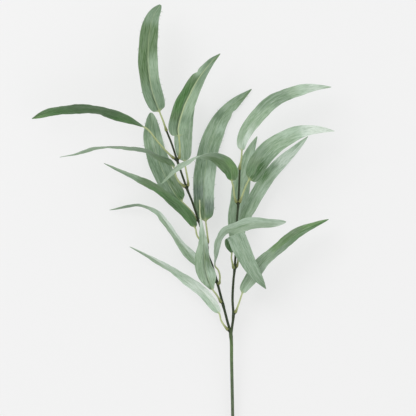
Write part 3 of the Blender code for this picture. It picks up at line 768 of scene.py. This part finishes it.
@dataclass(frozen=True)
class TwigBark:
    """Twig bark: young willow bark, dark olive, with a dull wax.

    The eye sees fine lengthwise cracks and slightly worn, paler patches. Real cracks are about
    0.1 mm wide, too fine to show, so they are drawn as coarse as 0.5 mm.
    """

    cracks: Grain = Grain(0.5, 7.0, 3.0)
    patches: Grain = Grain(2.5, 18.0, 2.0)
    dark_cracks: Ramp = Ramp(0.58, 0.35, 0.75)
    worn_patches: Ramp = Ramp(0.5, 0.8, 0.3)
    crack_colour: str = "#1d2614"
    worn_colour: str = "#6f7c58"
    roughness: float = 0.62
    specular: float = 0.3
    relief_mm: float = 0.15
    relief_strength: float = 0.8

    def material(self) -> bpy.types.Material:
        """Build the material.

        Returns:
            A material that reads the tone and place of each vertex.
        """
        made, shader = start_material("twig_bark", {"Roughness": self.roughness,
                                                    "Specular IOR Level": self.specular})
        tree = made.node_tree
        tone, place = read_vertices(tree, "tone", "place")
        cracks = self.cracks.noise(tree, place)
        colour = self.dark_cracks.lay(tree, cracks, tone.outputs["Color"],
                                      linear(self.crack_colour))
        colour = self.worn_patches.lay(tree, self.patches.noise(tree, place), colour,
                                       linear(self.worn_colour))
        tree.links.new(colour, shader.inputs["Base Color"])
        bump = add_node(tree, "ShaderNodeBump",
                        inputs={"Strength": self.relief_strength, "Distance": self.relief_mm * MM,
                                "Height": cracks})
        tree.links.new(bump.outputs[0], shader.inputs["Normal"])
        return made


@dataclass(frozen=True)
class CutWood:
    """Cut end: sawn young willow wood.

    The eye sees a pale, dry and rough grain.
    """

    wood_colour: str = "#bdb188"
    pith_colour: str = "#8f8257"
    ring_width_mm: float = 0.5
    roughness: float = 0.8

    def material(self) -> bpy.types.Material:
        """Build the material.

        Returns:
            A material with fine grain in object space.
        """
        made, shader = start_material("cut_wood", {"Roughness": self.roughness})
        tree = made.node_tree
        where = add_node(tree, "ShaderNodeTexCoord")
        grain = add_node(tree, "ShaderNodeTexNoise",
                         inputs={"Vector": where.outputs["Object"],
                                 "Scale": 1 / (self.ring_width_mm * MM), "Detail": 2.0})
        mixed = add_node(tree, "ShaderNodeMix", {"data_type": "RGBA"},
                         {0: grain.outputs["Fac"], 6: (*linear(self.wood_colour), 1.0),
                          7: (*linear(self.pith_colour), 1.0)})
        tree.links.new(mixed.outputs[2], shader.inputs["Base Color"])
        return made


@dataclass
class Leaf:
    """One leaf: sleeve, petiole, blade and midrib in one skin. Lengths are in millimetres.

    Shares are of the blade's length or of its half width.
    """

    shape: LeafShape
    number: int
    seed: int = 40
    marks_apart: float = 5.0
    blade_rings: int = 96
    petiole_rings: int = 22
    columns: int = 10
    thickness: float = 0.45
    edge_thickness: float = 0.32
    rib_half_width: float = 0.75
    rib_height: float = 0.28
    rib_depth: float = 0.4
    rib_most: float = 0.4
    rib_narrows: float = 0.5
    rib_sinks: float = 0.6
    rib_pales: float = 0.7
    rib_right_side: float = 0.5
    sleeve_overlap: float = 1.4
    sleeve_radius: float = 2.0
    sleeve_length: float = 7.5
    sleeve_fade: float = 1.6
    petiole_root_radius: float = 1.3
    petiole_tip_radius: float = 1.0
    round_to_flat: float = 0.03
    tip_half_width: float = 0.45
    wander_turns: float = 23.0
    wander_share: float = 0.02
    wave_count: float = 2.6
    wave_share: float = 0.10
    wave_shift: float = 1.7
    left_shift: float = 1.3
    dent_share: float = 0.26
    dent_reach: float = 0.022
    dent_power: float = 1.5
    crinkle_counts: tuple[int, int] = (9, 17)
    crinkle_height: float = 0.22
    pleat_count: float = 1.5
    pleat_height: float = 0.12
    bare_rings: tuple[int, int] = (12, 6)
    thread_half_width: float = 0.24
    thread_lengths: tuple[float, float] = (1.2, 3.4)
    thread_leans: tuple[float, float] = (-0.6, 1.0)
    halves_blend: float = 0.24
    # Painted shade in the crease left of the midrib: its strength and its reach across the blade
    groove_shade_share: float = 0.7
    groove_shade_reach: tuple[float, float] = (-0.2, -0.01)
    # Painted highlight along the blade's edges: its strength and how close to the edge it stays
    edge_highlight: float = 0.08
    edge_highlight_power: int = 8
    pale_base: float = 0.035
    sleeve_colour: str = "#7c8049"
    petiole_colour: str = "#b6c08c"
    # Colour of the painted shade in the crease left of the midrib
    groove_shade_colour: str = "#2f4526"

    def __post_init__(self) -> None:
        """Read the curves of the shape."""
        shape = self.shape
        away = self.seat_direction()
        start = Vector(shape.seat) - away * self.sleeve_overlap
        self.curve = Smooth.route([start, *shape.petiole, *shape.blade], away)
        self.petiole_length = self.curve.stations[len(shape.petiole) + 1]
        self.length = self.curve.stations[-1]
        self.outline = Smooth(*zip(*shape.outline.value))
        count = len(shape.rolls) - 1
        self.rolls = Smooth([i / count for i in range(count + 1)], shape.rolls)
        self.draw = random.Random(self.seed + self.number)
        self.phases = [self.draw.uniform(0, 2 * math.pi) for _ in range(6)]

    def seat_direction(self) -> Vector:
        """Direction in which the petiole leaves the wood.

        Returns:
            A unit vector, along the twig where the leaf sits on its end.
        """
        before, after = self.shape.node, self.shape.seat
        if before == after:
            before = LEFT_TWIG[-2] if after == LEFT_END else RIGHT_TWIG[-2]
        return (Vector(after) - Vector(before)).normalized()

    def stations(self) -> list[float]:
        """Distances along the leaf at which it has a ring.

        Returns:
            Rising stations, closer together at the blade's ends.
        """
        found = [self.petiole_length * i / self.petiole_rings for i in range(self.petiole_rings)]
        blade_length = self.length - self.petiole_length
        for i in range(self.blade_rings + 1):
            even = i / self.blade_rings
            eased = (1 - math.cos(math.pi * even)) / 2
            found.append(self.petiole_length + blade_length * (even + eased) / 2)
        return found

    def frames(self, stations: list[float]) -> list[tuple[Vector, Vector, Vector]]:
        """Place and directions of the leaf at each station, before it is rolled.

        Args:
            stations: Distances along the leaf.

        Returns:
            Centre, side and normal for each station.
        """
        found = []
        for station in stations:
            along = self.curve.along(station)
            if self.shape.bends_over:
                side = Vector(BEND_AXIS).normalized()
                normal = side.cross(along).normalized()
            else:
                normal = square_to(UP, along)
                side = along.cross(normal)
            found.append((self.curve.at(station), side, normal))
        return found

    def disc(self, radius: float) -> list[list[tuple[float, float]]]:
        """Round section, with as many points as the blade's.

        Args:
            radius: Radius of the section.

        Returns:
            Upper and lower rows of distances across and up.
        """
        across = 2 * self.columns + 1
        angles = [math.pi * (1 - (k + 0.5) / across) for k in range(across)]
        return [[(radius * math.cos(a), sign * radius * math.sin(a)) for a in angles]
                for sign in (1, -1)]

    def offsets(self, half_width: float, t: float) -> list[float]:
        """Distances of the points across the blade from its midrib.

        Args:
            half_width: Half of the blade's width there.
            t: Share of the blade's length.

        Returns:
            Distances from left to right.
        """
        rib = min(self.rib_half_width * (1 - self.rib_narrows * t), self.rib_most * half_width)
        steps = self.columns - 1
        halves = []
        for side in (-1, 1):
            dent = sum(self.dent_share * math.exp(-abs((t - at) / self.dent_reach) ** self.dent_power)
                       for at, dented in self.shape.dents if dented == side)
            reach = half_width * (1 - dent) - rib
            halves.append([side * (rib + reach * k / steps) for k in range(steps + 1)])
        return [*reversed(halves[0]), 0.0, *halves[1]]

    def height(self, x: float, half_width: float, t: float) -> float:
        """Height of the blade's middle layer: fold, waves at the edge, crinkles and pleats.

        Args:
            x: Distance from the midrib.
            half_width: Half of the blade's width there.
            t: Share of the blade's length.

        Returns:
            Height above the midrib's route.
        """
        reach = abs(x) / half_width
        side = 0 if x < 0 else 1
        turn = 2 * math.pi * self.wave_count * t + self.wave_shift * self.number \
            + (0.0 if side else self.left_shift)
        wave = self.shape.wave * self.wave_share * half_width * reach * reach * math.sin(turn)
        fine, finer = [math.sin(2 * math.pi * count * t + self.phases[2 * i + side])
                       for i, count in enumerate(self.crinkle_counts)]
        swell = math.sin(math.pi * t)
        crinkle = self.crinkle_height * reach ** 3 * (fine + 0.5 * finer) * swell
        pleat = self.pleat_height * math.sin(2 * math.pi * self.pleat_count * reach
                                             + self.phases[4]) * swell
        return abs(x) * math.tan(math.radians(self.shape.fold)) + wave + crinkle + pleat

    def blade_section(self, half_width: float, t: float) -> list[list[tuple[float, float]]]:
        """Section of the blade.

        Args:
            half_width: Half of the blade's width there.
            t: Share of the blade's length.

        Returns:
            Upper and lower rows of distances across and up.
        """
        rows: list[list[tuple[float, float]]] = [[], []]
        fade = 1 - self.rib_sinks * t
        for x in self.offsets(half_width, t):
            reach = abs(x) / half_width
            half = (self.thickness + (self.edge_thickness - self.thickness) * reach) / 2
            height = self.height(x, half_width, t)
            crest = fade if x == 0.0 else 0.0
            rows[0].append((x, height + half + crest * self.rib_height))
            rows[1].append((x, height - half - crest * self.rib_depth))
        return rows

    def tone(self, t: float, share: float, upper: bool) -> Colour:
        """Colour of one point of the blade.

        Args:
            t: Share of the blade's length.
            share: From -1 at the left edge to 1 at the right one.
            upper: Whether the point is on the upper face.

        Returns:
            A linear colour.
        """
        shades = self.shape.shades
        if upper:
            face = blend(shades.at(t, 1), shades.at(t, 2),
                         ease((share + self.halves_blend / 2) / self.halves_blend))
            # Painted shade in the crease along the left of the midrib, fading towards the tip
            if self.groove_shade_reach[0] < share < self.groove_shade_reach[1]:
                face = blend(face, linear(self.groove_shade_colour),
                             self.groove_shade_share * shades.groove_shade * (1 - t))
        else:
            base_tone, tip_tone = shades.under
            face = blend(linear(base_tone.value), linear(tip_tone.value), t)
        # Painted highlight: the edges are mixed towards frost green
        face = blend(face, linear(FROST.value), self.edge_highlight * abs(share) ** self.edge_highlight_power)
        base = max(1 - t / self.pale_base, 0.0) * (1 - abs(share)) ** 2
        return blend(face, linear(self.petiole_colour), base)

    def petiole_tone(self, station: float) -> Colour:
        """Colour of the petiole: an olive sleeve end that turns pale."""
        return blend(linear(self.sleeve_colour), linear(self.petiole_colour),
                     ease(station / (self.sleeve_fade * self.sleeve_length)))

    def petiole_radius(self, station: float) -> float:
        """Radius of the petiole, with a thicker sleeve over the stub.

        Args:
            station: Distance along the leaf.

        Returns:
            Radius in millimetres.
        """
        share = min(station / self.petiole_length, 1.0)
        even = self.petiole_root_radius + (self.petiole_tip_radius - self.petiole_root_radius) * share
        thicker = self.sleeve_radius - self.petiole_root_radius
        return even + thicker * (1 - ease(station / self.sleeve_length))

    def rib(self, t: float, column: int) -> float:
        """How much of the midrib's colour shows at one point.

        Args:
            t: Share of the blade's length.
            column: Number of the point from the midrib, to the right.

        Returns:
            From 0 to 1.
        """
        bold = self.shape.shades.rib
        shown = {0: 1.0, 1: self.rib_right_side * bold}.get(column, 0.0)
        return shown * bold * (1 - self.rib_pales * t * t)

    def skin(self) -> Skin:
        """Loft the leaf.

        Returns:
            The leaf's closed skin.
        """
        made = Skin()
        stations = self.stations()
        for station, (centre, side, normal) in zip(stations, self.frames(stations)):
            t = max((station - self.petiole_length) / (self.length - self.petiole_length), 0.0)
            wander = 1 + self.wander_share * math.sin(self.wander_turns * t + self.phases[5])
            half_width = max(self.outline.at(t) * self.shape.width / 2 * wander,
                             self.tip_half_width)
            flat = ease(t / self.round_to_flat)
            roll = math.radians(self.rolls.at(t))
            lateral = side * math.cos(roll) + normal * math.sin(roll)
            upward = normal * math.cos(roll) - side * math.sin(roll)
            discs = self.disc(self.petiole_radius(station))
            blades = self.blade_section(half_width, t)
            rows = [[centre + lateral * (p[0] + (q[0] - p[0]) * flat)
                     + upward * (p[1] + (q[1] - p[1]) * flat) for p, q in zip(disc, blade)]
                    for disc, blade in zip(discs, blades)]
            self.keep_off_floor(rows)
            bloom = self.shape.shades.bloom * flat
            for upper, row, blade in zip((True, False), rows, blades):
                for k, (point, (x, _)) in enumerate(zip(row, blade)):
                    tone = blend(self.petiole_tone(station), self.tone(t, x / half_width, upper),
                                 flat)
                    rib = self.rib(t, k - self.columns) * flat
                    place = (x, station, self.marks_apart * self.number + upper)
                    made.add_point(point, tone, place, rib, bloom)
        self.close(made, len(stations))
        self.fray(made, stations)
        return made

    def keep_off_floor(self, rows: list[list[Vector]]) -> None:
        """Flatten the blade where it lies in the floor, and keep its thickness there.

        Args:
            rows: Upper and lower rows of one ring.
        """
        for above, below in zip(*rows):
            low, high = (below, above) if below.z < above.z else (above, below)
            if low.z < self.thickness:
                low.z = max(low.z, 0.0)
                high.z = max(high.z, low.z + self.edge_thickness)

    def close(self, made: Skin, rings: int) -> None:
        """Add the faces of both sides, the edges and the ends.

        Args:
            made: Skin that has the vertices.
            rings: Number of rings.
        """
        across = 2 * self.columns + 1
        ring = 2 * across
        last = across - 1
        loop = [*range(across), *range(ring - 1, last, -1)]
        made.add_face(tuple(reversed(loop)), 1)
        for i in range(rings - 1):
            low = i * ring
            high = low + ring
            finish = 1 if i < self.petiole_rings else 0
            for k in range(last):
                quad = (low + k, low + k + 1, high + k + 1, high + k)
                made.add_face(quad, finish)
                made.add_face(tuple(corner + across for corner in reversed(quad)), finish)
            made.add_face((low, high, high + across, low + across), finish)
            made.add_face((low + last, low + across + last, high + across + last, high + last),
                          finish)
        made.add_face(tuple((rings - 1) * ring + corner for corner in loop))

    def fray(self, made: Skin, stations: list[float]) -> None:
        """Pull a few loose threads out of the cut edges.

        Args:
            made: Skin that has the blade.
            stations: Distances of its rings along the leaf.
        """
        across = 2 * self.columns + 1
        pale = linear(SAGE.value)
        low, high = self.bare_rings[0], self.blade_rings - self.bare_rings[1]
        for _ in range(self.shape.frayed):
            ring = self.petiole_rings + self.draw.randint(low, high)
            column = self.draw.choice((0, across - 1, across - 1, across - 1))
            root = made.points[ring * 2 * across + column]
            inner = made.points[ring * 2 * across + across // 2]
            ahead = made.points[(ring + 1) * 2 * across + column]
            out = (root - inner).normalized()
            along = (ahead - root).normalized()
            length = self.draw.uniform(*self.thread_lengths)
            lean = self.draw.uniform(*self.thread_leans)
            tip = root + (out + along * lean).normalized() * length
            width = along * self.thread_half_width
            lift = UP * self.thread_half_width
            first = len(made.points)
            for point in (root - width, root + width, root + lift, tip):
                made.add_point(point, pale, (0.0, stations[ring], 0.0))
            for corners in ((0, 1, 3), (1, 2, 3), (2, 0, 3), (0, 2, 1)):
                made.add_face(tuple(first + c for c in corners))

    def dress(self, finishes: list[bpy.types.Material]) -> bpy.types.Object:
        """Build the leaf and put it in its node's place.

        Args:
            finishes: The blade's and the petiole's materials.

        Returns:
            The piece.
        """
        piece = self.skin().build(self.shape.name + "_silk", finishes)
        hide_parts(self.shape.name)
        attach(piece, "root")
        LOG.info("%s: %d faces, %.0f mm long", piece.name, len(piece.data.polygons), self.length)
        return piece


@dataclass
class WoodyStem:
    """The woody piece: stem, twigs and the leaves' stubs. Lengths are in millimetres."""

    stem_radius: float = 1.8
    stem_top_radius: float = 2.1
    twig_radius: float = 1.65
    twig_end_radius: float = 1.25
    fork_blend: float = 8.0
    stub_root_radius: float = 1.5
    stub_tip_radius: float = 1.25
    swelling: float = 0.35
    swelling_reach: float = 4.0
    scar: float = 0.12
    scar_reach: float = 0.5
    scar_before_node: float = 3.0
    # Height as a share of the radius, number round the tube, turn for each millimetre along it
    broad_lumps: tuple[float, int, float] = (0.025, 3, 0.05)
    fine_lumps: tuple[float, int, float] = (0.015, 7, -0.11)
    sides: int = 20
    step: float = 1.6
    left_mark: float = 100.0
    right_mark: float = 110.0
    stub_mark: float = 120.0
    green_starts: float = 60.0
    green_full: float = 14.0
    dark_from: float = 12.0
    stem_colour: str = "#5b6c50"
    fork_colour: str = "#66804f"
    twig_colour: str = "#35412a"
    stub_colour: str = "#2b3521"

    def radius(self, station: float, profile: Stops, nodes: list[float]) -> float:
        """Radius along a twig: even tapers, swollen at the nodes.

        Args:
            station: Distance along the twig.
            profile: Stations, each with its radius.
            nodes: Stations at which leaves grow.

        Returns:
            Radius in millimetres.
        """
        extra = sum(self.swelling * math.exp(-((station - n) / self.swelling_reach) ** 2)
                    for n in nodes)
        extra += sum(self.scar * math.exp(-((station - n + self.scar_before_node)
                                            / self.scar_reach) ** 2) for n in nodes)
        for (low, before), (high, after) in zip(profile, profile[1:]):
            if station <= high:
                return before + (after - before) * (station - low) / (high - low) + extra
        return profile[-1][1] + extra

    @staticmethod
    def colour_at(station: float, colours: Stops) -> Colour:
        """Colour along a twig, mixed from its neighbours in the list.

        Args:
            station: Distance along the twig.
            colours: Stations, each with its hex colour.

        Returns:
            A linear colour.
        """
        for (low, before), (high, after) in zip(colours, colours[1:]):
            if station <= high:
                return blend(linear(before), linear(after), (station - low) / (high - low))
        return linear(colours[-1][1])

    def tube(self, made: Skin, points: Sequence[Point], profile: Stops, nodes: list[Point],
             colours: Stops, mark: float) -> None:
        """Add one tube to the skin.

        Args:
            made: Skin that gets the tube.
            points: Route points.
            profile: Stations along the tube, each with its radius.
            nodes: Route points at which leaves grow.
            colours: Stations along the tube, each with its hex colour.
            mark: Number that tells the tube's pattern from the others'.
        """
        curve = Smooth.route(points)
        length = curve.stations[-1]
        swollen = [curve.stations[points.index(node)] for node in nodes]
        count = max(int(length / self.step), 3)
        first = len(made.points)
        for i in range(count + 1):
            station = length * i / count
            along = curve.along(station)
            up = square_to(UP, along)
            side = along.cross(up)
            radius = self.radius(station, profile, swollen)
            tone = self.colour_at(station, colours)
            for k in range(self.sides):
                angle = 2 * math.pi * (k + 0.5) / self.sides
                lump = 1 + sum(high * math.sin(turns * angle + twist * station + shift)
                               for (high, turns, twist), shift in ((self.broad_lumps, 0.0),
                                                                   (self.fine_lumps, mark)))
                offset = (side * math.cos(angle) + up * math.sin(angle)) * radius * lump
                made.add_point(curve.at(station) + offset, tone, (angle * radius, station, mark))
        for i in range(count):
            low = first + i * self.sides
            for k in range(self.sides):
                nxt = (k + 1) % self.sides
                made.add_face((low + k, low + self.sides + k, low + self.sides + nxt, low + nxt))
        made.add_face(tuple(first + k for k in range(self.sides)), 1)
        made.add_face(tuple(first + count * self.sides + k for k in reversed(range(self.sides))))

    def dress(self, finishes: list[bpy.types.Material]) -> bpy.types.Object:
        """Build the woody piece and put it in its node's place.

        Args:
            finishes: The bark and the cut wood.

        Returns:
            The piece.
        """
        made = Skin()
        left = [*MAIN_STEM, *LEFT_TWIG]
        stations = Smooth.route(left).stations
        fork = stations[len(MAIN_STEM) - 1]
        end = stations[-1]
        self.tube(made, left,
                  [(0.0, self.stem_radius), (fork - self.fork_blend, self.stem_top_radius),
                   (fork, self.stem_top_radius), (fork + self.fork_blend, self.twig_radius),
                   (end, self.twig_end_radius)],
                  [MAIN_STEM[-1], LEFT_E, LEFT_D, LEFT_C, LEFT_B, LEFT_A],
                  [(0.0, self.stem_colour), (fork - self.green_starts, self.stem_colour),
                   (fork - self.green_full, self.fork_colour),
                   (fork + self.dark_from, self.twig_colour), (end, self.twig_colour)],
                  self.left_mark)
        end = Smooth.route(RIGHT_TWIG).stations[-1]
        self.tube(made, RIGHT_TWIG, [(0.0, self.twig_radius), (end, self.twig_end_radius)],
                  [RIGHT_4, RIGHT_3, RIGHT_1],
                  [(0.0, self.fork_colour), (self.green_full, self.twig_colour),
                   (end, self.twig_colour)], self.right_mark)
        for number, shape in enumerate(LEAVES):
            if shape.seat != shape.node:
                length = (Vector(shape.seat) - Vector(shape.node)).length
                self.tube(made, [shape.node, shape.seat],
                          [(0.0, self.stub_root_radius), (length, self.stub_tip_radius)], [],
                          [(0.0, self.twig_colour), (length, self.stub_colour)],
                          self.stub_mark + number)
        piece = made.build("woody_stem", finishes)
        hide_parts("stem")
        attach(piece, "root")
        LOG.info("%s: %d faces", piece.name, len(piece.data.polygons))
        return piece


@dataclass
class Studio:
    """Pale floor, soft light and a camera straight above, which looks down on the branch."""

    mm_per_pixel: float = 1.25
    photo_pixels: float = 416.0
    photo_fork: tuple[float, float] = (231.0, 336.0)
    focus_height: float = 0.04
    camera_height: float = 6.0
    sensor_width: float = 36.0
    floor_size: float = 16.0
    floor_colour: str = "#989898"
    floor_glow: float = 0.548
    glow_colour: str = "#ffffff"
    floor_roughness: float = 0.9
    floor_specular: float = 0.1
    sky_colour: str = "#ffffff"
    sky_strength: float = 0.88
    key_place: Point = (-1.3, 1.3, 2.2)
    key_size: float = 1.6
    key_energy: float = 22.0
    fill_place: Point = (1.6, -0.6, 1.8)
    fill_size: float = 2.0
    fill_energy: float = 3.0

    def camera(self) -> None:
        """Add the camera, framed as the photograph is."""
        middle = self.photo_pixels / 2
        x = FORK.x + (middle - self.photo_fork[0]) * self.mm_per_pixel
        y = FORK.y + (self.photo_fork[1] - middle) * self.mm_per_pixel
        data = bpy.data.cameras.new("photo_camera")
        data.sensor_width = self.sensor_width
        width = self.photo_pixels * self.mm_per_pixel * MM
        data.lens = self.sensor_width * (self.camera_height - self.focus_height) / width
        camera = add_object("photo_camera", data)
        camera.location = (x * MM, y * MM, self.camera_height)
        bpy.context.scene.camera = camera

    def floor(self) -> None:
        """Add the pale floor: a light table's top, whose own soft glow thins the shadows."""
        half = self.floor_size / 2
        mesh = bpy.data.meshes.new("floor")
        mesh.from_pydata([(-half, -half, 0), (half, -half, 0), (half, half, 0), (-half, half, 0)],
                         [], [(0, 1, 2, 3)])
        made, _ = start_material("pale_floor", {
            "Base Color": (*linear(self.floor_colour), 1.0), "Roughness": self.floor_roughness,
            "Specular IOR Level": self.floor_specular, "Emission Color": (*linear(self.glow_colour), 1.0),
            "Emission Strength": self.floor_glow})
        mesh.materials.append(made)
        plane = add_object("floor", mesh)

    def soft_box(self, name: str, place: Point, size: float, energy: float) -> None:
        """Add one large area light that points at the branch.

        Args:
            name: Name of the light.
            place: Place in metres.
            size: Width in metres.
            energy: Power in watts.
        """
        data = bpy.data.lights.new(name, "AREA")
        data.shape = "SQUARE"
        data.size = size
        data.energy = energy
        lamp = add_object(name, data)
        lamp.location = place
        lamp.rotation_euler = (-Vector(place)).to_track_quat("-Z", "Y").to_euler()

    def light(self) -> None:
        """Add the sky and the soft boxes."""
        world = bpy.data.worlds.new("studio")
        world.use_nodes = True
        sky = world.node_tree.nodes["Background"]
        sky.inputs["Color"].default_value = (*linear(self.sky_colour), 1.0)
        sky.inputs["Strength"].default_value = self.sky_strength
        bpy.context.scene.world = world
        self.soft_box("key_light", self.key_place, self.key_size, self.key_energy)
        self.soft_box("fill_light", self.fill_place, self.fill_size, self.fill_energy)
        bpy.context.scene.view_settings.view_transform = "Standard"


def main() -> None:
    """Build the branch and the studio, and note the sizes."""
    logging.basicConfig(level=logging.INFO, format="%(message)s")
    studio = Studio()
    studio.camera()
    studio.floor()
    studio.light()
    WoodyStem().dress([TwigBark().material(), CutWood().material()])
    finishes = [SilkLeaf().material(), SoftSleeve().material()]
    for number, shape in enumerate(LEAVES):
        Leaf(shape, number).dress(finishes)


if __name__ == "__main__":
    main()
